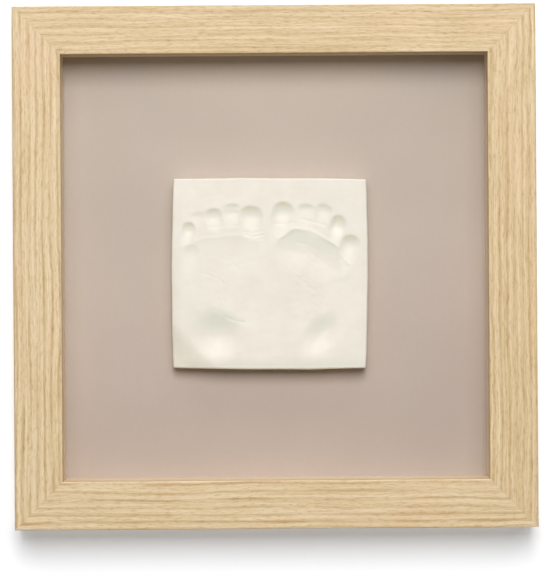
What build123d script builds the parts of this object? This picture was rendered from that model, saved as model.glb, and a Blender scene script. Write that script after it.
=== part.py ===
from build123d import *
import os
from math import sqrt

# A square box frame that shows a clay plaque with a baby's two footprints on a plain mount card.
# Sizes are in millimetres. X runs to the right, Y from the front to the back, Z up.

# Moulding
FRAME_WIDTH = 250.0
FRAME_HEIGHT = 250.0
RAIL_FACE = 23.0
LIP_DEPTH = 20.0
REBATE_WIDTH = 7.0
ARRIS_RADIUS = 0.5
BACK_ARRIS_RADIUS = 0.5
MITRE_GAP = 0.04

# Corner V-nails
V_NAIL_WING = 5.0
V_NAIL_THICKNESS = 0.6
V_NAIL_LENGTH = 8.0
V_NAIL_HALF_ANGLE = 50.0
V_NAIL_PLACES = (0.48, 0.82)

# Mount card and backing board
CARD_THICKNESS = 2.0
BOARD_THICKNESS = 3.0
BOARD_CLEARANCE = 0.5

# Clay plaque
PLAQUE_WIDTH = 92.6
PLAQUE_HEIGHT = 90.8
PLAQUE_THICKNESS = 10.0
PLAQUE_SIDE_BOW = 0.9
PLAQUE_END_BOW = 0.6
PLAQUE_CORNER_RADIUS = 0.8
PLAQUE_FRONT_EASE = 0.6
PLAQUE_SHIFT_X = -2.6
PLAQUE_SHIFT_Z = -3.4
PLAQUE_TURN = -0.5
PAD_SIZE = 18.0
PAD_THICKNESS = 1.0
PAD_INSET = 8.0

# Turn-buttons and their screws
BUTTON_SPACING = 120.0
BUTTON_SETBACK = 6.0
BUTTON_REACH = 14.4
BUTTON_PIVOT_RADIUS = 5.0
BUTTON_TIP_WIDTH = 7.0
BUTTON_TIP_CLIP = 1.8
BUTTON_THICKNESS = 1.0
BUTTON_LIP_LENGTH = 4.4
BUTTON_LIP_RISE = 1.1
BUTTON_PLAY = 0.1
BUTTON_HOLE_CLEARANCE = 0.08
SCREW_RADIUS = 1.5
SCREW_LENGTH = 12.0
SCREW_HEAD_RADIUS = 3.1
SCREW_HEAD_HEIGHT = 1.8
RECESS_LENGTH = 3.4
RECESS_WIDTH = 0.7
RECESS_DEPTH = 0.9

# Sawtooth hanger and its nails
HANGER_LENGTH = 46.0
HANGER_HEIGHT = 9.0
HANGER_THICKNESS = 0.8
HANGER_RISE = 1.6
HANGER_FOOT = 8.0
HANGER_RAMP = 2.5
HANGER_CORNER_CHAMFER = 1.5
TOOTH_COUNT = 7
TOOTH_PITCH = 3.2
TOOTH_DEPTH = 1.8
NAIL_RADIUS = 0.8
NAIL_HOLE_CLEARANCE = 0.1
NAIL_LENGTH = 10.0
NAIL_HEAD_RADIUS = 1.9
NAIL_HEAD_HEIGHT = 0.7

# Footprints, each hollow as (across, up, radius, depth) from the plaque's middle
LEFT_FOOT = (
    (-9.4, 26.6, 5.9, 1.9),
    (-18.4, 28.6, 4.3, 1.2),
    (-27.0, 27.2, 4.4, 1.4),
    (-34.4, 25.2, 3.2, 0.7),
    (-39.4, 19.5, 4.0, 1.5),
    (-24.0, 4.0, 15.5, 0.9),
    (-30.0, -12.0, 13.0, 1.0),
    (-24.8, -29.0, 12.8, 2.4),
)
RIGHT_FOOT = (
    (6.1, 28.8, 5.6, 1.9),
    (17.5, 29.0, 4.7, 1.2),
    (26.0, 28.2, 4.2, 1.4),
    (32.6, 21.6, 4.5, 1.7),
    (38.4, 12.6, 4.8, 1.8),
    (18.0, 5.8, 15.0, 1.3),
    (27.2, -12.0, 12.2, 1.0),
    (25.0, -29.4, 12.0, 2.3),
)

# Sizes that follow from the ones above
RAIL_DEPTH = LIP_DEPTH + CARD_THICKNESS + BOARD_THICKNESS
BACK_LAND = RAIL_FACE - REBATE_WIDTH
SCREW_HEAD_SEAT = BUTTON_THICKNESS + 2 * BUTTON_PLAY
FRONT_Y = -(RAIL_DEPTH + SCREW_HEAD_SEAT + SCREW_HEAD_HEIGHT) / 2
CARD_FRONT_Y = FRONT_Y + LIP_DEPTH
BOARD_FRONT_Y = CARD_FRONT_Y + CARD_THICKNESS
PANEL_WIDTH = FRAME_WIDTH - 2 * (BACK_LAND + BOARD_CLEARANCE)
PANEL_HEIGHT = FRAME_HEIGHT - 2 * (BACK_LAND + BOARD_CLEARANCE)
MID_Z = FRAME_HEIGHT / 2


def side_location(outer, along):
    """Places a side: its X runs along the rail, Y points out of the frame, Z points to the front."""
    return Plane(origin=outer, x_dir=along, z_dir=(0, -1, 0)).location


SIDES = {
    "top": (side_location((0, FRONT_Y, FRAME_HEIGHT), (1, 0, 0)), FRAME_WIDTH),
    "bottom": (side_location((0, FRONT_Y, 0), (-1, 0, 0)), FRAME_WIDTH),
    "left": (side_location((-FRAME_WIDTH / 2, FRONT_Y, MID_Z), (0, 0, 1)), FRAME_HEIGHT),
    "right": (side_location((FRAME_WIDTH / 2, FRONT_Y, MID_Z), (0, 0, -1)), FRAME_HEIGHT),
}


def on_back(side, x, inward):
    """A spot on a rail's back face, with Z out of the back and Y towards the middle of the frame."""
    return SIDES[side][0] * Location((x, -inward, -RAIL_DEPTH), (180, 0, 0))


def rail(length):
    """A length of rebated moulding with both ends mitred."""
    profile = Polygon(
        (0, 0),
        (0, -RAIL_DEPTH),
        (-BACK_LAND, -RAIL_DEPTH),
        (-BACK_LAND, -LIP_DEPTH),
        (-RAIL_FACE, -LIP_DEPTH),
        (-RAIL_FACE, 0),
        align=None,
    )
    front = profile.vertices().group_by(Axis.Y)[-1]
    profile = fillet(front, ARRIS_RADIUS)
    outer_back = profile.vertices().sort_by(Axis.Y).group_by(Axis.Y)[0].sort_by(Axis.X)[-1]
    profile = fillet(outer_back, BACK_ARRIS_RADIUS)
    bar = extrude(Plane.YZ * profile, length / 2 + 1, both=True)
    half = length / 2 - MITRE_GAP / sqrt(2)
    inner = RAIL_FACE + 1
    wedge = Polygon(
        (-half - 1, 1),
        (-half + inner, -inner),
        (half - inner, -inner),
        (half + 1, 1),
        align=None,
    )
    return bar & extrude(Pos(0, 0, 1) * wedge, -(RAIL_DEPTH + 2))


def v_nail(distance):
    """A V of thin plate driven in from the back, its point on the mitre at a distance from the corner."""
    plate = Pos(V_NAIL_WING / 2, 0) * Rectangle(V_NAIL_WING, V_NAIL_THICKNESS)
    wings = Rot(0, 0, 180 - V_NAIL_HALF_ANGLE) * plate + Rot(0, 0, 180 + V_NAIL_HALF_ANGLE) * plate
    return extrude(Pos(distance, 0) * wings, -V_NAIL_LENGTH)


def turn_button():
    """A stamped plate on its pivot hole, pointing along Y, with its finger end bent up off the board."""
    half_tip = BUTTON_TIP_WIDTH / 2
    tip = BUTTON_REACH
    finger_end = Polyline(
        (-half_tip, tip - BUTTON_TIP_CLIP),
        (BUTTON_TIP_CLIP - half_tip, tip),
        (half_tip - BUTTON_TIP_CLIP, tip),
        (half_tip, tip - BUTTON_TIP_CLIP),
    )
    outline = make_hull(Circle(BUTTON_PIVOT_RADIUS).edges() + finger_end.edges())
    outline -= Circle(SCREW_RADIUS + BUTTON_HOLE_CLEARANCE)
    heel = -2 * BUTTON_PIVOT_RADIUS
    bend = tip - BUTTON_LIP_LENGTH
    side_view = Polygon(
        (heel, 0),
        (bend, 0),
        (bend + 2 * BUTTON_LIP_LENGTH, 2 * BUTTON_LIP_RISE),
        (bend + 2 * BUTTON_LIP_LENGTH, 2 * BUTTON_LIP_RISE + BUTTON_THICKNESS),
        (bend, BUTTON_THICKNESS),
        (heel, BUTTON_THICKNESS),
        align=None,
    )
    bent_strip = extrude(Plane.YZ * side_view, 2 * BUTTON_PIVOT_RADIUS, both=True)
    blank = extrude(outline, 2 * BUTTON_LIP_RISE + BUTTON_THICKNESS)
    return Pos(0, 0, BUTTON_PLAY) * (bent_strip & blank)


def screw():
    """A cheese-head wood screw with a cross recess, its head just above the turn-button's plate."""
    seat = SCREW_HEAD_SEAT
    top = seat + SCREW_HEAD_HEIGHT
    half_section = Polygon(
        (0, -SCREW_LENGTH),
        (SCREW_RADIUS, -SCREW_LENGTH),
        (SCREW_RADIUS, seat),
        (SCREW_HEAD_RADIUS, seat),
        (SCREW_HEAD_RADIUS, top),
        (0, top),
        align=None,
    )
    cross = Rectangle(RECESS_LENGTH, RECESS_WIDTH) + Rectangle(RECESS_WIDTH, RECESS_LENGTH)
    return revolve(Plane.XZ * half_section, Axis.Z) - extrude(Pos(0, 0, top) * cross, -RECESS_DEPTH)


def sawtooth_hanger():
    """A bent strip that stands off the rail in the middle, with teeth along its lower edge."""
    end = HANGER_LENGTH / 2
    foot = end - HANGER_FOOT
    bridge = foot - HANGER_RAMP
    top = HANGER_RISE + HANGER_THICKNESS
    side_view = Polygon(
        (-end, 0),
        (-foot, 0),
        (-bridge, HANGER_RISE),
        (bridge, HANGER_RISE),
        (foot, 0),
        (end, 0),
        (end, HANGER_THICKNESS),
        (foot, HANGER_THICKNESS),
        (bridge, top),
        (-bridge, top),
        (-foot, HANGER_THICKNESS),
        (-end, HANGER_THICKNESS),
        align=None,
    )
    strip = extrude(Plane.XZ * side_view, HANGER_HEIGHT / 2, both=True)
    upright = strip.edges().filter_by(Axis.Z).group_by(Axis.X)
    strip = chamfer(upright[0] + upright[-1], HANGER_CORNER_CHAMFER)
    low = HANGER_HEIGHT / 2
    for index in range(TOOTH_COUNT):
        x = (index - (TOOTH_COUNT - 1) / 2) * TOOTH_PITCH
        notch = Polygon(
            (x - TOOTH_PITCH / 2, low + 0.1),
            (x, low - TOOTH_DEPTH),
            (x + TOOTH_PITCH / 2, low + 0.1),
            align=None,
        )
        strip -= extrude(notch, 2 * top)
    hole = Cylinder(NAIL_RADIUS + NAIL_HOLE_CLEARANCE, 4 * HANGER_THICKNESS)
    for x in HANGER_NAIL_X:
        strip -= Pos(x, 0, 0) * hole
    return strip


def hanger_nail():
    """A flat-headed nail whose head rests on the hanger's foot."""
    section = Polygon(
        (0, -NAIL_LENGTH),
        (NAIL_RADIUS, -NAIL_LENGTH),
        (NAIL_RADIUS, HANGER_THICKNESS),
        (NAIL_HEAD_RADIUS, HANGER_THICKNESS),
        (NAIL_HEAD_RADIUS, HANGER_THICKNESS + NAIL_HEAD_HEIGHT),
        (0, HANGER_THICKNESS + NAIL_HEAD_HEIGHT),
        align=None,
    )
    return revolve(Plane.XZ * section, Axis.Z)


def hollow(across, up, radius, depth):
    """A ball that leaves a round hollow of this radius and depth in the plaque's face."""
    ball_radius = (radius ** 2 + depth ** 2) / (2 * depth)
    face = PAD_THICKNESS + PLAQUE_THICKNESS
    return Pos(across, up, face - depth + ball_radius) * Rot(90, 0, 0) * Sphere(ball_radius)


def clay_plaque():
    """A hand-cut clay slab with bowed sides and two footprints pressed into it."""
    w = PLAQUE_WIDTH / 2
    h = PLAQUE_HEIGHT / 2
    outline = make_face(
        [
            ThreePointArc((-w, -h), (0, -h - PLAQUE_END_BOW), (w, -h)),
            ThreePointArc((w, -h), (w + PLAQUE_SIDE_BOW, 0), (w, h)),
            ThreePointArc((w, h), (0, h + PLAQUE_END_BOW), (-w, h)),
            ThreePointArc((-w, h), (-w - PLAQUE_SIDE_BOW, 0), (-w, -h)),
        ]
    )
    outline = fillet(outline.vertices(), PLAQUE_CORNER_RADIUS)
    slab = extrude(Pos(0, 0, PAD_THICKNESS) * outline, PLAQUE_THICKNESS)
    slab = chamfer(slab.edges().group_by(Axis.Z)[-1], PLAQUE_FRONT_EASE)
    for mark in LEFT_FOOT + RIGHT_FOOT:
        slab -= hollow(*mark)
    return slab


def plaque_pads():
    """Four foam pads under the plaque's corners."""
    x = PLAQUE_WIDTH / 2 - PAD_INSET - PAD_SIZE / 2
    y = PLAQUE_HEIGHT / 2 - PAD_INSET - PAD_SIZE / 2
    pad = extrude(Rectangle(PAD_SIZE, PAD_SIZE), PAD_THICKNESS)
    return [Pos(sx * x, sy * y) * pad for sx in (-1, 1) for sy in (-1, 1)]


def panel(front_y, thickness):
    """A flat sheet that fills the rebate."""
    base = (Align.CENTER, Align.MIN, Align.CENTER)
    return Pos(0, front_y, MID_Z) * Box(PANEL_WIDTH, thickness, PANEL_HEIGHT, align=base)


HANGER_NAIL_X = (-(HANGER_LENGTH - HANGER_FOOT) / 2, (HANGER_LENGTH - HANGER_FOOT) / 2)
HANGER_PLACE = on_back("top", 0, BACK_LAND / 2)
PLAQUE_PLACE = Location((PLAQUE_SHIFT_X, CARD_FRONT_Y, MID_Z + PLAQUE_SHIFT_Z), (90, 0, 0))
PLAQUE_PLACE = PLAQUE_PLACE * Location((0, 0, 0), (0, 0, PLAQUE_TURN))

# Button names by side, for the negative and the positive end of the side's own X
BUTTON_ENDS = {
    "top": ("left", "right"),
    "bottom": ("right", "left"),
    "left": ("lower", "upper"),
    "right": ("upper", "lower"),
}

button_places = {}
for side, ends in BUTTON_ENDS.items():
    for end, sign in zip(ends, (-1, 1)):
        place = on_back(side, sign * BUTTON_SPACING / 2, BACK_LAND - BUTTON_SETBACK)
        button_places["turn_button_" + side + "_" + end] = place

plain_button = turn_button()
plain_screw = screw()
plain_nail = hanger_nail()
screws = [place * plain_screw for place in button_places.values()]
hanger_nails = [HANGER_PLACE * Pos(x, 0, 0) * plain_nail for x in HANGER_NAIL_X]

v_nails = []
for side, (place, length) in SIDES.items():
    corner = on_back(side, length / 2, 0) * Location((0, 0, 0), (0, 0, 135))
    for fraction in V_NAIL_PLACES:
        v_nails.append(corner * v_nail(fraction * BACK_LAND * sqrt(2)))

nodes = {}
for side, (place, length) in SIDES.items():
    bar = place * rail(length)
    for fastener in screws + hanger_nails + v_nails:
        bar -= fastener
    nodes[side + "_rail"] = bar
nodes["corner_v_nails"] = Compound(children=v_nails)
nodes["mount_card"] = panel(CARD_FRONT_Y, CARD_THICKNESS)
nodes["backing_board"] = panel(BOARD_FRONT_Y, BOARD_THICKNESS)
nodes["plaque_pads"] = Compound(children=[PLAQUE_PLACE * pad for pad in plaque_pads()])
nodes["clay_plaque"] = PLAQUE_PLACE * clay_plaque()
for name, place in button_places.items():
    nodes[name] = place * plain_button
nodes["turn_button_screws"] = Compound(children=screws)
nodes["sawtooth_hanger"] = HANGER_PLACE * sawtooth_hanger()
nodes["hanger_nails"] = Compound(children=hanger_nails)

os.makedirs("parts", exist_ok=True)
for name, shape in nodes.items():
    export_step(shape, "parts/" + name + ".step")
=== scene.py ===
import math

import bpy
import numpy as np
from mathutils import Matrix, Vector


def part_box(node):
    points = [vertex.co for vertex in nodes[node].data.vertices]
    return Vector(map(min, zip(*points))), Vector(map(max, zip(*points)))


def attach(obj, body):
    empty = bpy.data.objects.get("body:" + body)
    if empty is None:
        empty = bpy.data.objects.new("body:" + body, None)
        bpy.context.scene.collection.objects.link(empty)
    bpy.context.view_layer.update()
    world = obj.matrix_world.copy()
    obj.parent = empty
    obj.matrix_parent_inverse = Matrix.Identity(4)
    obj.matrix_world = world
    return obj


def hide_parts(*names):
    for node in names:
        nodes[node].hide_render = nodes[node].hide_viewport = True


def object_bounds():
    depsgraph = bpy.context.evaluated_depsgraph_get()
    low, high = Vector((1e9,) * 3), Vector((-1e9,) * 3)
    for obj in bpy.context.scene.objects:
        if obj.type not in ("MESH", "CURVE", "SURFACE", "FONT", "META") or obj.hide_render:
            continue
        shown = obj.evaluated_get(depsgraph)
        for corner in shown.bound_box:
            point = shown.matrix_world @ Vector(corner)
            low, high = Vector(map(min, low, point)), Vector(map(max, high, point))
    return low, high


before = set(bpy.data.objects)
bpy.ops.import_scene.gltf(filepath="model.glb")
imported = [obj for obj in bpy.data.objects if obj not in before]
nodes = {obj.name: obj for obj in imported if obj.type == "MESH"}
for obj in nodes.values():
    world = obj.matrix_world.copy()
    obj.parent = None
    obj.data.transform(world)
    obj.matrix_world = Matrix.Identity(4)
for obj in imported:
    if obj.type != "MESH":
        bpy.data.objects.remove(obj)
cad_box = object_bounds()
scene = bpy.context.scene

MM = 1000.0  # millimetres in a metre
LEFT, BOTTOM = cad_box[0][0], cad_box[0][2]
RIGHT, TOP = cad_box[1][0], cad_box[1][2]
MIDDLE = Vector((0.0, 0.0, (BOTTOM + TOP) / 2))
FRONT_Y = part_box("top_rail")[0][1]
CARD_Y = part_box("mount_card")[0][1]
RAIL_FACE = (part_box("left_rail")[1][0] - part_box("left_rail")[0][0]) * MM


# Colours and node helpers

def linear(r, g, b):
    """A colour given in 0 to 255 display values, as the linear RGBA that sockets take."""
    out = []
    for c in (r, g, b):
        c /= 255.0
        out.append(c / 12.92 if c <= 0.04045 else ((c + 0.055) / 1.055) ** 2.4)
    return (*out, 1.0)


class Graph:
    """A material's node tree with short calls for the nodes used here."""

    def __init__(self, name):
        self.material = bpy.data.materials.new(name)
        self.material.use_nodes = True
        self.tree = self.material.node_tree
        self.tree.nodes.clear()
        self.output = self.node("ShaderNodeOutputMaterial")
        self.bsdf = self.node("ShaderNodeBsdfPrincipled")
        self.link(self.bsdf.outputs["BSDF"], self.output.inputs["Surface"])

    def link(self, a, b):
        self.tree.links.new(a, b)

    def node(self, kind, **settings):
        n = self.tree.nodes.new(kind)
        for key, value in settings.items():
            setattr(n, key, value)
        return n

    def put(self, socket, value):
        """Links value to the socket if it is a socket too, and sets it if it is plain."""
        if hasattr(value, "is_output"):
            self.link(value, socket)
        else:
            socket.default_value = value

    def fill(self, node, values):
        for name, value in values.items():
            self.put(node.inputs[name], value)

    def math(self, operation, a, b=0.0, c=0.0):
        n = self.node("ShaderNodeMath", operation=operation)
        for socket, value in zip(n.inputs, (a, b, c)):
            self.put(socket, value)
        return n.outputs[0]

    def product(self, first, *others):
        for value in others:
            first = self.math("MULTIPLY", first, value)
        return first

    def total(self, *parts, start=0.0):
        """start plus the sum of the parts, each given with its weight."""
        for value, weight in parts:
            start = self.math("MULTIPLY_ADD", value, weight, start)
        return start

    def sway(self, base, noise, reach):
        """base moved to and fro by noise, over a width of reach."""
        return self.math("MULTIPLY_ADD", self.math("SUBTRACT", noise, 0.5), reach, base)

    def position(self):
        """The place in the row frame, in metres: the pieces' objects sit at its origin."""
        return self.node("ShaderNodeTexCoord").outputs["Object"]

    def normal(self):
        """The way the surface faces, as three sockets."""
        return self.split(self.node("ShaderNodeNewGeometry").outputs["Normal"])

    def split(self, vector):
        n = self.node("ShaderNodeSeparateXYZ")
        self.link(vector, n.inputs[0])
        return n.outputs

    def join(self, x, y, z):
        n = self.node("ShaderNodeCombineXYZ")
        for socket, value in zip(n.inputs, (x, y, z)):
            self.put(socket, value)
        return n.outputs[0]

    def noise(self, vector, scale, detail=2.0, roughness=0.5, distortion=0.0):
        """Noise from 0 to 1, with the three scales given in features per unit of the vector."""
        mapping = self.node("ShaderNodeMapping")
        self.fill(mapping, {"Vector": vector, "Scale": scale})
        n = self.node("ShaderNodeTexNoise")
        self.fill(n, {"Vector": mapping.outputs[0], "Scale": 1.0, "Detail": detail})
        self.fill(n, {"Roughness": roughness, "Distortion": distortion})
        return n.outputs["Fac"]

    def ramp(self, value, *stops):
        n = self.node("ShaderNodeValToRGB")
        self.link(value, n.inputs["Fac"])
        elements = n.color_ramp.elements
        while len(elements) < len(stops):
            elements.new(0.5)
        for element, (place, colour) in zip(elements, stops):
            element.position = place
            element.color = colour
        return n.outputs["Color"]

    def span(self, value, low, high, to_low=0.0, to_high=1.0):
        """value from low..high mapped smoothly to to_low..to_high."""
        n = self.node("ShaderNodeMapRange", interpolation_type="SMOOTHSTEP")
        self.fill(n, {"Value": value, "From Min": low, "From Max": high, "To Min": to_low, "To Max": to_high})
        return n.outputs["Result"]

    def mix(self, factor, a, b):
        n = self.node("ShaderNodeMix", data_type="RGBA")
        self.put(n.inputs["Factor"], factor)
        first, second = (s for s in n.inputs if s.type == "RGBA")
        self.put(first, a)
        self.put(second, b)
        return next(s for s in n.outputs if s.type == "RGBA")

    def bump(self, height, distance, strength):
        n = self.node("ShaderNodeBump")
        self.fill(n, {"Strength": strength, "Distance": distance, "Height": height})
        return n.outputs["Normal"]

    def surface(self, colour, roughness, normal=None, specular=None, metallic=None):
        """Gives the shader what isn't None, and returns the finished material."""
        looks = {
            "Base Color": colour,
            "Roughness": roughness,
            "Normal": normal,
            "Specular IOR Level": specular,
            "Metallic": metallic,
        }
        self.fill(self.bsdf, {name: value for name, value in looks.items() if value is not None})
        return self.material


def seen_rays(tree):
    """A socket that is 1 for rays from the camera, off gloss and through glass, and 0 for diffuse light."""
    path = tree.nodes.new("ShaderNodeLightPath").outputs
    seen = path["Is Camera Ray"]
    for kind in ("Is Glossy Ray", "Is Transmission Ray"):
        either = tree.nodes.new("ShaderNodeMath")
        either.operation = "MAXIMUM"
        tree.links.new(seen, either.inputs[0])
        tree.links.new(path[kind], either.inputs[1])
        seen = either.outputs[0]
    return seen


def dress(obj, material):
    obj.data.materials.clear()
    obj.data.materials.append(material)


# Oak-effect rails with a raw fibreboard back, their patterns in millimetres

# The foil's growth lines: how far in from the rail's outer edge each one lies, and how dark it is
GROWTH_LINES = ((0.2, 0.9), (3.4, 1.0), (6.8, 0.8), (10.2, 0.6), (13.9, 0.9), (17.6, 0.9), (21.3, 0.85))
LINE_WIDTH = 1.0
# How widely the growth lines wander and feather, and the fibres slant
WANDER = 3.4
FEATHER = 0.9
SLANT = 3.2
# How far apart in the noise two rails lie whose seeds differ by one, along it and in depth
SEED_ALONG = 700.0
SEED_DEPTH = 37.0
# The brown that the painted shade on the rails mixes towards
OAK_PAINTED_SHADE = linear(138, 102, 52)
FOIL_EDGE = 0.0004  # metres of foil in front of the raw rebate


def growth_lines(g, place):
    """How dark the foil's growth lines are at a place across the rail."""
    stops = []
    for line, dark in GROWTH_LINES:
        stops.append((max(line - LINE_WIDTH, 0.0), 0.0))
        stops.append((line, dark))
        stops.append((line + LINE_WIDTH, 0.0))
    grey = [(at / RAIL_FACE, (dark, dark, dark, 1.0)) for at, dark in stops]
    return g.ramp(g.math("FRACT", g.math("DIVIDE", place, RAIL_FACE)), *grey)


def oak(name, along, edge, inward, seed, slide, depth, shift, lip_painted_shade, rim_painted_shade):
    """Pale oak foil. The grain follows the axis along, and edge and inward give the rail's outer edge and the
    way in from it. slide moves the growth lines across, depth is how dark they are, shift makes the foil
    paler, and the last two give how strongly painted shade darkens the front of the inner wall and the
    outer edge."""
    g = Graph(name)
    x, y, z = g.split(g.position())
    s, t = (x, z) if along == "X" else (z, x)
    s = g.math("MULTIPLY_ADD", s, MM, seed * SEED_ALONG)
    face_in = g.math("MULTIPLY_ADD", t, MM * inward, -MM * inward * edge)
    sunk = g.math("MULTIPLY_ADD", y, MM, -MM * FRONT_Y)
    half = g.math("SIGN", g.math("SUBTRACT", face_in, RAIL_FACE / 2))
    across = g.math("MULTIPLY_ADD", sunk, half, face_in)
    flat = g.join(s, across, seed * SEED_DEPTH)

    # Growth lines, which wander a little and fade in and out along the rail
    wander = g.noise(flat, (0.017, 0.07, 1), detail=1.0)
    feather = g.noise(flat, (0.17, 0.45, 1))
    place = g.math("ADD", across, RAIL_FACE - slide)
    place = g.sway(g.sway(place, wander, WANDER), feather, FEATHER)
    fade = g.noise(flat, (0.030, 0.30, 1))
    line = g.product(growth_lines(g, place), g.span(fade, 0.34, 0.62, 0.25, 1.0))

    # Streaks, fibres and the short dashes of the pores
    grain = g.join(s, place, seed * SEED_DEPTH)
    streaks = g.noise(grain, (0.012, 0.80, 1), roughness=0.55)
    slant = g.noise(flat, (0.045, 0.12, 1), detail=1.0)
    strokes = g.join(s, g.sway(place, slant, SLANT), seed * SEED_DEPTH)
    fibres = g.noise(strokes, (0.045, 1.6, 1), roughness=0.6)
    dashes = g.noise(strokes, (0.25, 1.6, 1), roughness=0.6)
    patches = g.noise(flat, (0.02, 0.06, 1), detail=1.0)
    tone = g.total((streaks, 0.45), (fibres, 0.35), (dashes, 0.20), start=shift)
    colour = g.ramp(
        tone,
        (0.36, linear(206, 178, 131)),
        (0.45, linear(219, 194, 151)),
        (0.54, linear(229, 206, 166)),
        (0.66, linear(239, 219, 185)),
    )
    colour = g.mix(g.span(patches, 0.45, 0.75, 0.0, 0.35), colour, linear(230, 201, 164))
    brown = g.ramp(patches, (0.35, linear(186, 154, 100)), (0.65, linear(196, 154, 99)))
    colour = g.mix(g.product(line, depth), colour, brown)
    pores = g.product(g.span(dashes, 0.45, 0.38), g.math("MULTIPLY_ADD", line, 0.6, 0.4))
    colour = g.mix(g.product(pores, 0.46), colour, linear(166, 126, 72))
    height = g.total((fibres, 0.5), (line, -0.35), (pores, -0.8))

    # Painted shade darkens the outer edge and the front of the inner wall, and painted light makes the rest of
    # that wall paler
    rim = g.product(g.span(face_in, 1.1, 0.2), g.span(sunk, 1.6, 0.8), rim_painted_shade)
    colour = g.mix(rim, colour, OAK_PAINTED_SHADE)
    inner = g.math("GREATER_THAN", face_in, RAIL_FACE / 2)
    deep = g.span(sunk, 6.0, 10.0)
    lip = g.math("SUBTRACT", g.span(sunk, 0.6, 2.0), deep)
    colour = g.mix(g.product(inner, lip, lip_painted_shade), colour, OAK_PAINTED_SHADE)
    # Painted light: the deeper part of the inner wall is paler
    colour = g.mix(g.product(inner, deep, 0.75), colour, linear(239, 220, 186))

    # Raw board shows on the back land and in the rebate, past a thin edge of foil
    speck = g.noise(flat, (0.9, 0.9, 1), detail=3.0, roughness=0.7)
    raw = g.ramp(
        speck,
        (0.30, linear(150, 112, 74)),
        (0.50, linear(178, 141, 100)),
        (0.72, linear(200, 168, 128)),
    )
    behind = g.math("GREATER_THAN", y, CARD_Y - FOIL_EDGE)
    bare = g.product(behind, g.span(g.normal()[1], 0.5, 0.8))
    rough = g.math("MULTIPLY_ADD", bare, 0.4, g.span(tone, 0.35, 0.65, 0.42, 0.34))
    return g.surface(g.mix(bare, colour, raw), rough, g.bump(height, 0.00008, 0.5), specular=0.35)


RAILS = {
    "top_rail": dict(
        along="X", edge=TOP, inward=-1, seed=1.0, slide=-0.3,
        depth=0.46, shift=-0.035, lip_painted_shade=0.45, rim_painted_shade=0.0,
    ),
    "bottom_rail": dict(
        along="X", edge=BOTTOM, inward=1, seed=2.3, slide=0.2,
        depth=0.92, shift=0.054, lip_painted_shade=0.0, rim_painted_shade=0.0,
    ),
    "left_rail": dict(
        along="Z", edge=LEFT, inward=1, seed=3.7, slide=0.8,
        depth=0.88, shift=0.032, lip_painted_shade=0.15, rim_painted_shade=0.45,
    ),
    "right_rail": dict(
        along="Z", edge=RIGHT, inward=-1, seed=5.2, slide=0.0,
        depth=0.68, shift=-0.020, lip_painted_shade=0.25, rim_painted_shade=0.2,
    ),
}
for rail, looks in RAILS.items():
    dress(nodes[rail], oak("oak_" + rail, **looks))


# Mount card, backing board, foam and zinc-plated steel, their patterns in features per metre

# The taupe that the painted shade on the card mixes towards
CARD_PAINTED_SHADE = linear(160, 152, 147)


def card():
    g = Graph("taupe_card")
    p = g.position()
    fibre = g.noise(p, (900, 900, 420), detail=3.0, roughness=0.65)
    cloud = g.noise(p, (18, 18, 18))
    tone = g.total((fibre, 0.35), (cloud, 0.65))
    # Painted shade: the card is darker towards the bottom and a little towards the right
    upper = g.ramp(tone, (0.30, linear(204, 191, 179)), (0.70, linear(211, 198, 186)))
    lower = g.ramp(tone, (0.30, linear(189, 173, 163)), (0.70, linear(196, 180, 170)))
    x, _, z = g.split(p)
    colour = g.mix(g.span(g.math("MULTIPLY_ADD", x, -0.18, z), -0.02, 0.26), lower, upper)

    # Painted shade: darker towards the corners, more so in the upper ones where it stands for the rails'
    # shadow, and in a faint band above the middle
    above = g.math("SUBTRACT", z, MIDDLE.z)
    beside = g.math("ABSOLUTE", x)
    corner = g.math("ADD", beside, g.math("ABSOLUTE", above))
    corner = g.math("MULTIPLY_ADD", g.math("SUBTRACT", x, above), 0.2, corner)
    upper_corner = g.product(g.span(beside, 0.03, 0.10), g.span(above, 0.06, 0.10), 0.3)
    band = g.math("ABSOLUTE", g.math("SUBTRACT", above, 0.030))
    for shade in (g.span(corner, 0.11, 0.26, 0.0, 0.32), upper_corner, g.span(band, 0.0, 0.045, 0.13, 0.0)):
        colour = g.mix(shade, colour, CARD_PAINTED_SHADE)
    rough = g.span(fibre, 0.3, 0.7, 0.82, 0.92)
    return g.surface(colour, rough, g.bump(fibre, 0.00006, 0.35), specular=0.2)


def fibreboard():
    g = Graph("fibreboard")
    p = g.position()
    fine = g.noise(p, (1300, 1300, 1300), detail=3.0, roughness=0.7)
    strand = g.noise(p, (240, 240, 1500), distortion=1.2)
    cloud = g.noise(p, (22, 22, 22), detail=3.0)
    tone = g.total((fine, 0.4), (strand, 0.3), (cloud, 0.3))
    colour = g.ramp(
        tone,
        (0.34, linear(118, 82, 52)),
        (0.50, linear(146, 106, 70)),
        (0.66, linear(172, 132, 92)),
    )
    rough = g.span(fine, 0.3, 0.7, 0.52, 0.70)
    return g.surface(colour, rough, g.bump(fine, 0.00008, 0.5), specular=0.3)


def foam():
    g = Graph("foam")
    cells = g.noise(g.position(), (2200, 2200, 2200), roughness=0.7)
    colour = g.ramp(cells, (0.35, linear(206, 204, 196)), (0.65, linear(238, 237, 231)))
    return g.surface(colour, g.span(cells, 0.3, 0.7, 0.85, 0.95), g.bump(cells, 0.00012, 0.6))


def zinc():
    g = Graph("zinc_steel")
    p = g.position()
    drawn = g.noise(p, (260, 900, 2600))
    cloud = g.noise(p, (180, 180, 180), detail=3.0)
    tone = g.total((cloud, 0.7), (drawn, 0.3))
    colour = g.ramp(
        tone,
        (0.32, linear(128, 129, 128)),
        (0.52, linear(150, 151, 151)),
        (0.70, linear(168, 169, 170)),
    )
    return g.surface(colour, g.span(tone, 0.3, 0.7, 0.38, 0.52), g.bump(drawn, 0.00003, 0.35), metallic=1.0)


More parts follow.
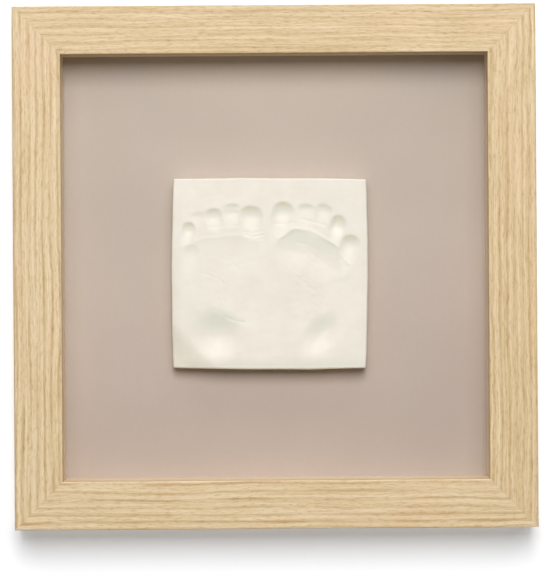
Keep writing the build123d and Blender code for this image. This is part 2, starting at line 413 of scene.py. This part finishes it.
dress(nodes["mount_card"], card())
dress(nodes["backing_board"], fibreboard())
dress(nodes["plaque_pads"], foam())
steel = zinc()
for name, obj in nodes.items():
    if name.startswith("turn_button") or name in ("corner_v_nails", "sawtooth_hanger", "hanger_nails"):
        dress(obj, steel)


# Clay plaque with the two footprints, in millimetres from its middle: u across, w up and z out of its face

PLAQUE_WIDTH = 92.6
PLAQUE_HEIGHT = 90.8
PLAQUE_THICKNESS = 10.0
SIDE_BOW = 0.9
END_BOW = 0.6
CORNER = 0.8
EDGE = 0.7
TURN = math.radians(-0.5)
# Moving a point out by so many millimetres at the edge is a scaling by that over HALF_SIZE
HALF_SIZE = 46.0
# The sides, from the front edge down: the share of the way to the back, and how far in from the edge
SIDE_RINGS = ((0.18, -0.10), (0.38, -0.16), (0.59, -0.10), (0.81, 0.0), (0.957, 0.1), (1.0, 0.4))
# The mesh has a band of short steps along its edges, and longer steps inside it
EDGE_BAND = 2.4
EDGE_STEP = 0.16
FLAT_STEP = 0.44

# Toes, balls and outer edges as (across, up, half width, reach above, reach below, depth, lean in degrees)
TOES = (
    (-9.2, 27.4, 5.9, 5.3, 12.4, 1.42, 0),
    (-18.2, 31.2, 4.2, 2.5, 2.4, 0.50, 0),
    (-18.4, 29.0, 4.4, 3.4, 7.8, 0.78, 0),
    (-27.0, 27.0, 4.8, 4.4, 8.4, 1.02, 12),
    (-34.4, 26.8, 3.4, 3.0, 6.0, 0.32, 20),
    (-39.2, 20.7, 3.5, 4.1, 9.6, 1.14, -14),
    (-38.0, 9.2, 5.0, 5.0, 13.0, 0.58, -10),
    (-22.0, 11.8, 17.0, 5.6, 22.0, 0.16, 4),
    (6.3, 29.0, 5.4, 5.7, 16.5, 1.56, -14),
    (17.3, 30.4, 4.9, 3.4, 13.5, 0.62, -4),
    (25.9, 30.0, 4.2, 3.7, 11.0, 0.80, -18),
    (32.6, 22.6, 4.0, 5.8, 7.6, 1.64, -12),
    (38.5, 13.4, 4.9, 5.6, 15.5, 1.50, -16),
    (12.5, 10.8, 10.0, 10.6, 12.5, 1.06, -10),
    (25.0, 6.8, 11.5, 9.4, 12.0, 0.92, -36),
)
# Heels, in the same terms
HEELS = (
    (-24.4, -29.8, 14.5, 16.2, 14.8, 2.35, 40),
    (24.4, -29.6, 10.0, 17.0, 15.0, 1.52, -44),
)
# Ridges of clay pushed up behind the toes, each with its height and width
RIDGES = (
    (0.08, 0.55, ((-36.0, 15.8), (-30.5, 17.2), (-24.5, 17.4), (-19.5, 18.3), (-14.8, 18.5), (-10.8, 17.2),
                  (-6.2, 16.2))),
    (0.17, 0.55, ((4.0, 17.0), (7.0, 18.2), (9.4, 20.2), (11.8, 21.9), (15.4, 21.4), (19.4, 20.8), (23.6, 18.6),
                  (29.0, 15.6), (33.0, 13.0))),
    (0.17, 0.50, ((33.4, 9.6), (35.6, 7.6), (38.0, 4.8))),
)
# Fine folds of skin under the toes and across the soles, each with its depth
FOLDS = (
    (0.12, ((-12.6, 20.4), (-8.6, 19.4), (-3.4, 20.6))),
    (0.12, ((-12.0, 18.9), (-8.2, 17.7), (-3.0, 18.6))),
    (0.09, ((-9.6, 16.9), (-6.6, 16.3), (-2.6, 17.0))),
    (0.06, ((-29.2, 22.2), (-22.0, 22.9), (-15.0, 23.1))),
    (0.06, ((-17.6, 4.6), (-15.4, 2.6), (-14.2, 1.0))),
    (0.055, ((-33.0, 0.2), (-27.0, -1.4), (-22.6, -4.2))),
    (0.13, ((-20.6, -20.9), (-17.4, -22.4), (-12.4, -23.4))),
    (0.11, ((2.2, 24.2), (7.0, 23.8), (11.6, 24.9))),
    (0.13, ((15.2, 26.2), (20.6, 25.0), (26.8, 23.4))),
    (0.08, ((13.4, 14.8), (18.0, 14.2), (23.6, 11.4))),
)
FOLD_WIDTH = 0.34
# Skin lines on the soles: across, up, half width, half height, depth, pitch, seed and direction in degrees
SKIN = (
    (-20.0, -1.0, 13.0, 24.0, 0.014, 2.2, 21, 35),
    (22.0, -4.0, 17.0, 22.0, 0.013, 2.4, 23, 60),
)
# Waves left by flattening the clay: height, pitch and seed
WAVES = ((0.05, 30.0, 4), (0.010, 4.0, 9))
DROOP_WIDTH = 6.0
BURR = 0.07
WOBBLE = 0.05


def noise_field(u, w, pitch, seed, angle=None):
    """Smooth random relief of about unit height, with features a pitch apart, running across angle if given."""
    rng = np.random.default_rng(seed)
    total = np.zeros_like(u)
    for _ in range(14):
        turn = rng.uniform(0, 2 * math.pi) if angle is None else angle + rng.normal(0, 0.45)
        wave = 2 * math.pi / (pitch * rng.uniform(0.7, 1.6))
        phase = rng.uniform(0, 2 * math.pi)
        total += np.sin(wave * (u * math.cos(turn) + w * math.sin(turn)) + phase)
    return total / math.sqrt(7)


def turned(u, w, across, up, lean):
    """Places measured from a print's deepest point, along its own width and length."""
    a = math.radians(lean)
    du = (u - across) * math.cos(a) + (w - up) * math.sin(a)
    dw = -(u - across) * math.sin(a) + (w - up) * math.cos(a)
    return du, dw


def toe_dent(u, w, across, up, half, above, below, depth, lean):
    """The hollow of one toe: a steep wall round its tip, and a floor that eases out towards the foot."""
    du, dw = turned(u, w, across, up, lean)
    x = np.clip(np.abs(du) / half, 0, 1)
    arch = np.sqrt(np.clip(1 - 0.80 * x * x, 0.02, 1))
    y = np.clip(np.abs(dw) / (np.where(dw > 0, above, below) * arch), 0, 1)
    y = (np.sqrt(y * y + 0.01) - 0.1) / (math.sqrt(1.01) - 0.1)
    side = (1 - x ** 2.4) ** 1.25
    rise = np.where(dw > 0, 1 - y ** 1.7, (1 - y) ** 1.7)
    return depth * side * rise


def heel_dent(u, w, across, up, half, above, below, depth, lean):
    """The soft hollow of a heel."""
    du, dw = turned(u, w, across, up, lean)
    y = np.where(dw > 0, dw / above, dw / below)
    r2 = (du / half) ** 2 + y * y
    return depth * np.clip(1 - r2, 0, 1) ** 2.8


def stroke(u, w, points, width):
    """How close each place is to a line through the points, from 0 to 1."""
    best = np.full(u.shape, 1e9)
    for (ax, ay), (bx, by) in zip(points, points[1:]):
        lx, ly = bx - ax, by - ay
        t = np.clip(((u - ax) * lx + (w - ay) * ly) / (lx * lx + ly * ly), 0, 1)
        best = np.minimum(best, (u - ax - t * lx) ** 2 + (w - ay - t * ly) ** 2)
    return np.exp(-best / (2 * width * width))


def droop(out, start):
    """How far an edge bends back, from 0 at start to 1 at DROOP_WIDTH further out."""
    return np.clip((out - start) / DROOP_WIDTH, 0, 1) ** 2


def relief(u, w):
    """Height of the clay above its flat face, at (across, up) from the plaque's middle."""
    heels = np.zeros_like(u)
    for mark in HEELS:
        heels = (heels ** 3 + heel_dent(u, w, *mark) ** 3) ** (1 / 3)
    toes = np.zeros_like(u)
    for mark in TOES:
        toes = (toes ** 4 + toe_dent(u, w, *mark) ** 4) ** (1 / 4)
    height = -np.hypot(heels, toes)
    for lift, width, points in RIDGES:
        height += lift * stroke(u, w, points, width)
    for depth, points in FOLDS:
        height -= depth * stroke(u, w, points, FOLD_WIDTH)
    patch = np.clip(0.5 + 0.6 * noise_field(u, w, 11.0, 31), 0, 1)
    for across, up, half, tall, depth, pitch, seed, angle in SKIN:
        inside = np.clip(2 - 2 * np.hypot((u - across) / half, (w - up) / tall), 0, 1)
        height += depth * inside * patch * noise_field(u, w, pitch, seed, math.radians(angle))
    for depth, pitch, seed in WAVES:
        height += depth * noise_field(u, w, pitch, seed)

    # The lower left corner sags, and the left, right and lower edges bend back
    corner = np.clip((-u - w - 69.0) / 18.0, 0, 1)
    height -= 1.9 * corner ** 2 * (3 - 2 * corner)
    height -= droop(-u, 41.0) * np.clip(1.10 - w / 110.0, 0.8, 1.5)
    height -= 1.05 * droop(u, 41.0)
    height -= 0.55 * droop(-w, 39.5)
    return height


def grid_steps(half):
    """Places from -1 to 1 for a grid of this half width, close together near both ends."""
    near = list(np.arange(0.0, EDGE_BAND, EDGE_STEP))
    count = max(2, int(round((half - EDGE_BAND) / FLAT_STEP)) + 1)
    far = list(np.linspace(EDGE_BAND, half, count))
    left = np.array(near + far) - half
    return np.concatenate([left, -left[-2::-1]]) / half


def slab_front():
    """The front of the plaque as a grid of points, out to the foot of its rounded edge."""
    a, b = np.meshgrid(grid_steps(PLAQUE_WIDTH / 2), grid_steps(PLAQUE_HEIGHT / 2), indexing="ij")
    half_u = PLAQUE_WIDTH / 2 + SIDE_BOW * (1 - b * b)
    half_w = PLAQUE_HEIGHT / 2 + END_BOW * (1 - a * a)
    u = a * half_u
    w = b * half_w
    inset = np.minimum(half_u - np.abs(u), half_w - np.abs(w))

    # The four corners are pulled in to a radius
    du = np.abs(u) - (half_u - CORNER)
    dw = np.abs(w) - (half_w - CORNER)
    in_corner = (du > 0) & (dw > 0)
    longest = np.maximum(du, dw)
    squeeze = np.where(in_corner, longest / np.maximum(np.hypot(du, dw), 1e-9), 1.0)
    u = np.where(in_corner, np.sign(u) * (half_u - CORNER + du * squeeze), u)
    w = np.where(in_corner, np.sign(w) * (half_w - CORNER + dw * squeeze), w)
    inset = np.where(in_corner, CORNER - longest, inset)

    # The outline wobbles, the front edge is rounded, and a burr stands along its upper and right sides
    wobble = WOBBLE * noise_field(u, w, 24.0, 2)
    grow = 1 + wobble * np.clip(1 - inset / 2.0, 0, 1) / HALF_SIZE
    u = u * grow
    w = w * grow
    d = np.clip(EDGE - inset, 0, EDGE)
    drop = EDGE - np.sqrt(np.maximum(EDGE * EDGE - d * d, 0))
    burr = BURR * np.exp(-((inset - 0.9) / 0.35) ** 2) * np.clip((u - w) / 60.0 + 0.35, 0, 1)
    return np.stack([u, w, relief(u, w) - drop + burr], axis=-1)


def clay_slab():
    front = slab_front()
    nu, nw = front.shape[:2]
    top = front.reshape(-1, 3)
    index = np.arange(nu * nw).reshape(nu, nw)
    faces = [
        (index[i, j], index[i + 1, j], index[i + 1, j + 1], index[i, j + 1])
        for i in range(nu - 1)
        for j in range(nw - 1)
    ]
    rim = np.concatenate([index[:-1, 0], index[-1, :-1], index[:0:-1, -1], index[0, :0:-1]])
    points = [top]
    ring = rim
    count = nu * nw
    for share, inset_by in SIDE_RINGS:
        edge = top[rim].copy()
        edge[:, :2] *= 1 - inset_by / HALF_SIZE
        edge[:, 2] -= share * (PLAQUE_THICKNESS + edge[:, 2])
        points.append(edge)
        lower = np.arange(count, count + len(rim))
        count += len(rim)
        for k in range(len(rim)):
            n = (k + 1) % len(rim)
            faces.append((ring[k], lower[k], lower[n], ring[n]))
        ring = lower
    points.append(np.array([[0.0, 0.0, -PLAQUE_THICKNESS]]))
    for k in range(len(rim)):
        faces.append((ring[k], count, ring[(k + 1) % len(rim)]))

    vertices = np.concatenate(points)
    low, high = (np.array(c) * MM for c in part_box("clay_plaque"))
    middle = (low + high) / 2
    c, s = math.cos(TURN), math.sin(TURN)
    place = np.empty_like(vertices)
    place[:, 0] = middle[0] + vertices[:, 0] * c - vertices[:, 1] * s
    place[:, 1] = low[1] - vertices[:, 2]
    place[:, 2] = middle[2] + vertices[:, 0] * s + vertices[:, 1] * c
    mesh = bpy.data.meshes.new("clay_slab")
    mesh.from_pydata((place / MM).tolist(), [], [tuple(int(i) for i in f) for f in faces])
    mesh.validate()
    mesh.update()
    mesh.polygons.foreach_set("use_smooth", [True] * len(mesh.polygons))
    obj = bpy.data.objects.new("clay_slab", mesh)
    scene.collection.objects.link(obj)
    return obj


def clay():
    g = Graph("clay")
    p = g.position()
    grit = g.noise(p, (2600, 2600, 2600), detail=3.0, roughness=0.65)
    mottle = g.noise(p, (60, 60, 60), detail=3.0, roughness=0.6)
    cloud = g.noise(p, (16, 16, 16), detail=1.0)
    colour = g.ramp(
        mottle,
        (0.30, linear(238, 231, 217)),
        (0.52, linear(243, 237, 225)),
        (0.72, linear(247, 242, 231)),
    )
    colour = g.mix(g.span(cloud, 0.40, 0.75, 0.0, 0.5), colour, linear(236, 235, 222))

    # Painted shade colours: slopes that face down are greener, and steep ones and the sagging corner are
    # yellower, standing in for tinted shade
    facing = g.normal()[2]
    x, _, z = g.split(p)
    sag = g.span(g.math("ADD", x, g.math("SUBTRACT", z, MIDDLE.z)), -0.072, -0.080)
    painted_green_shade = g.product(g.span(facing, -0.03, -0.14, 0.0, 0.68), g.math("SUBTRACT", 1.0, sag))
    colour = g.mix(painted_green_shade, colour, linear(238, 239, 224))
    painted_yellow_shade = g.math("MAXIMUM", g.span(facing, -0.21, -0.38, 0.0, 0.85), g.product(sag, 0.22))
    colour = g.mix(painted_yellow_shade, colour, linear(241, 234, 212))

    pits = g.span(grit, 0.34, 0.24)
    colour = g.mix(g.product(pits, 0.35), colour, linear(214, 206, 188))
    rough = g.span(mottle, 0.3, 0.7, 0.48, 0.56)
    return g.surface(colour, rough, g.bump(grit, 0.00005, 0.35), specular=0.34)


slab = clay_slab()
dress(slab, clay())
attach(slab, "frame")
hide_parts("clay_plaque")


# Stage: a white wall just behind the frame and a pale floor below the view

WALL_Y = cad_box[1][1] + 0.0003
WALL_GLOW = 0.265
FLOOR_Z = -0.6
FLOOR_GLOW = 0.75


def plane(name, corners):
    mesh = bpy.data.meshes.new(name)
    mesh.from_pydata(corners, [], [(0, 1, 2, 3)])
    mesh.update()
    obj = bpy.data.objects.new(name, mesh)
    scene.collection.objects.link(obj)
    return obj


def paint(name, scale, low, high, roughness, specular, glow):
    """A one-sided paint with a faint tooth and a glow of that colour. It isn't there from behind."""
    g = Graph(name)
    tooth = g.noise(g.position(), (scale, scale, scale))
    g.surface(g.ramp(tooth, (0.2, low), (0.8, high)), roughness, specular=specular)
    g.bsdf.inputs["Emission Color"].default_value = glow
    clear = g.node("ShaderNodeBsdfTransparent")
    swap = g.node("ShaderNodeMixShader")
    g.link(g.node("ShaderNodeNewGeometry").outputs["Backfacing"], swap.inputs["Fac"])
    g.link(g.bsdf.outputs["BSDF"], swap.inputs[1])
    g.link(clear.outputs["BSDF"], swap.inputs[2])
    g.link(swap.outputs["Shader"], g.output.inputs["Surface"])
    return g


def wall_paint():
    """White with a glow that only the camera sees, which lifts the frame's shadow."""
    g = paint("wall_paint", 300, linear(249, 250, 254), linear(251, 252, 255), 0.9, 0.0, (0.91, 0.96, 1, 1))
    camera_ray = g.node("ShaderNodeLightPath").outputs["Is Camera Ray"]
    g.link(g.product(camera_ray, WALL_GLOW), g.bsdf.inputs["Emission Strength"])
    return g.material


def floor_paint():
    g = paint("floor_paint", 40, linear(240, 239, 237), linear(245, 244, 242), 0.8, 0.1, (1, 0.99, 0.98, 1))
    g.link(g.product(seen_rays(g.tree), FLOOR_GLOW), g.bsdf.inputs["Emission Strength"])
    return g.material


wall = plane("wall", [(-4, WALL_Y, -3.5), (4, WALL_Y, -3.5), (4, WALL_Y, 4), (-4, WALL_Y, 4)])
dress(wall, wall_paint())
wall.visible_shadow = False
wall.visible_diffuse = False
wall.visible_glossy = False
wall.visible_transmission = False
floor = plane("floor", [(-6, -6, FLOOR_Z), (6, -6, FLOOR_Z), (6, 6, FLOOR_Z), (-6, 6, FLOOR_Z)])
dress(floor, floor_paint())
floor.visible_diffuse = False


# Light

# The two panels in front, as tangents of the angles from the frame's middle: left, right, high, and power
KEY_DISTANCE = 3.0
KEY_LOW = 0.17
KEY_PANELS = (("key", -0.11, 0.15, 0.80, 54.0), ("wide_key", -0.46, 0.56, 0.92, 60.5))
# The other lamps: place from the frame's middle, width, height and power
LAMPS = (
    ("overhead", (0, -0.60, 1.7), 2.8, 0.5, 9.1),
    ("back_left", (1.6, 2.0, 0.35), 2.4, 1.6, 44.0),
    ("back_right", (-1.6, 2.0, 0.25), 2.4, 1.6, 32.0),
)
AMBIENT = (1.0, 0.90, 0.77, 1)
AMBIENT_STRENGTH = 0.15


def area_lamp(name, place, target, width, height, power):
    data = bpy.data.lights.new(name, "AREA")
    data.shape = "RECTANGLE"
    data.size = width
    data.size_y = height
    data.energy = power
    obj = bpy.data.objects.new(name, data)
    obj.location = place
    obj.rotation_euler = (target - place).to_track_quat("-Z", "Y").to_euler()
    scene.collection.objects.link(obj)


def key_panel(name, left, right, high, power):
    """A panel of light parallel to the frame, in front of it and above its middle."""
    x = KEY_DISTANCE * (left + right) / 2
    z = MIDDLE.z + KEY_DISTANCE * (KEY_LOW + high) / 2
    place = Vector((x, -KEY_DISTANCE, z))
    target = place + Vector((0, 1, 0))
    area_lamp(name, place, target, KEY_DISTANCE * (right - left), KEY_DISTANCE * (high - KEY_LOW), power)


for panel in KEY_PANELS:
    key_panel(*panel)
for name, offset, width, height, power in LAMPS:
    area_lamp(name, MIDDLE + Vector(offset), MIDDLE, width, height, power)


def background(tree, colour, strength):
    n = tree.nodes.new("ShaderNodeBackground")
    n.inputs["Color"].default_value = colour
    n.inputs["Strength"].default_value = strength
    return n.outputs["Background"]


# The world is white where it is seen, and a weak warm light where it isn't
world = bpy.data.worlds.new("studio")
scene.world = world
world.use_nodes = True
tree = world.node_tree
tree.nodes.clear()
choose = tree.nodes.new("ShaderNodeMixShader")
tree.links.new(seen_rays(tree), choose.inputs["Fac"])
tree.links.new(background(tree, AMBIENT, AMBIENT_STRENGTH), choose.inputs[1])
tree.links.new(background(tree, (1, 1, 1, 1), 1.0), choose.inputs[2])
out = tree.nodes.new("ShaderNodeOutputWorld")
tree.links.new(choose.outputs["Shader"], out.inputs["Surface"])


# Camera: square on to the front, a little above the middle, with a slight roll

IMAGE_WIDTH = 550
FOCAL_PIXELS = 2725.0
SHIFT_PIXELS = -31.75
SENSOR_WIDTH = 36.0
CAMERA_DISTANCE = 1.30
CAMERA_Z = 0.130
ROLL = math.radians(0.385)

camera_data = bpy.data.cameras.new("camera")
camera_data.sensor_fit = "HORIZONTAL"
camera_data.sensor_width = SENSOR_WIDTH
camera_data.lens = FOCAL_PIXELS / IMAGE_WIDTH * SENSOR_WIDTH
camera_data.shift_y = SHIFT_PIXELS / IMAGE_WIDTH
camera_data.clip_start = 0.01
camera_data.clip_end = 50.0
camera = bpy.data.objects.new("camera", camera_data)
right = Vector((math.cos(ROLL), 0, -math.sin(ROLL)))
up = Vector((math.sin(ROLL), 0, math.cos(ROLL)))
back = right.cross(up)
camera.matrix_world = Matrix(
    (
        (right.x, up.x, back.x, 0.0),
        (right.y, up.y, back.y, FRONT_Y - CAMERA_DISTANCE),
        (right.z, up.z, back.z, CAMERA_Z),
        (0, 0, 0, 1),
    )
)
scene.collection.objects.link(camera)
scene.camera = camera
scene.view_settings.view_transform = "Standard"
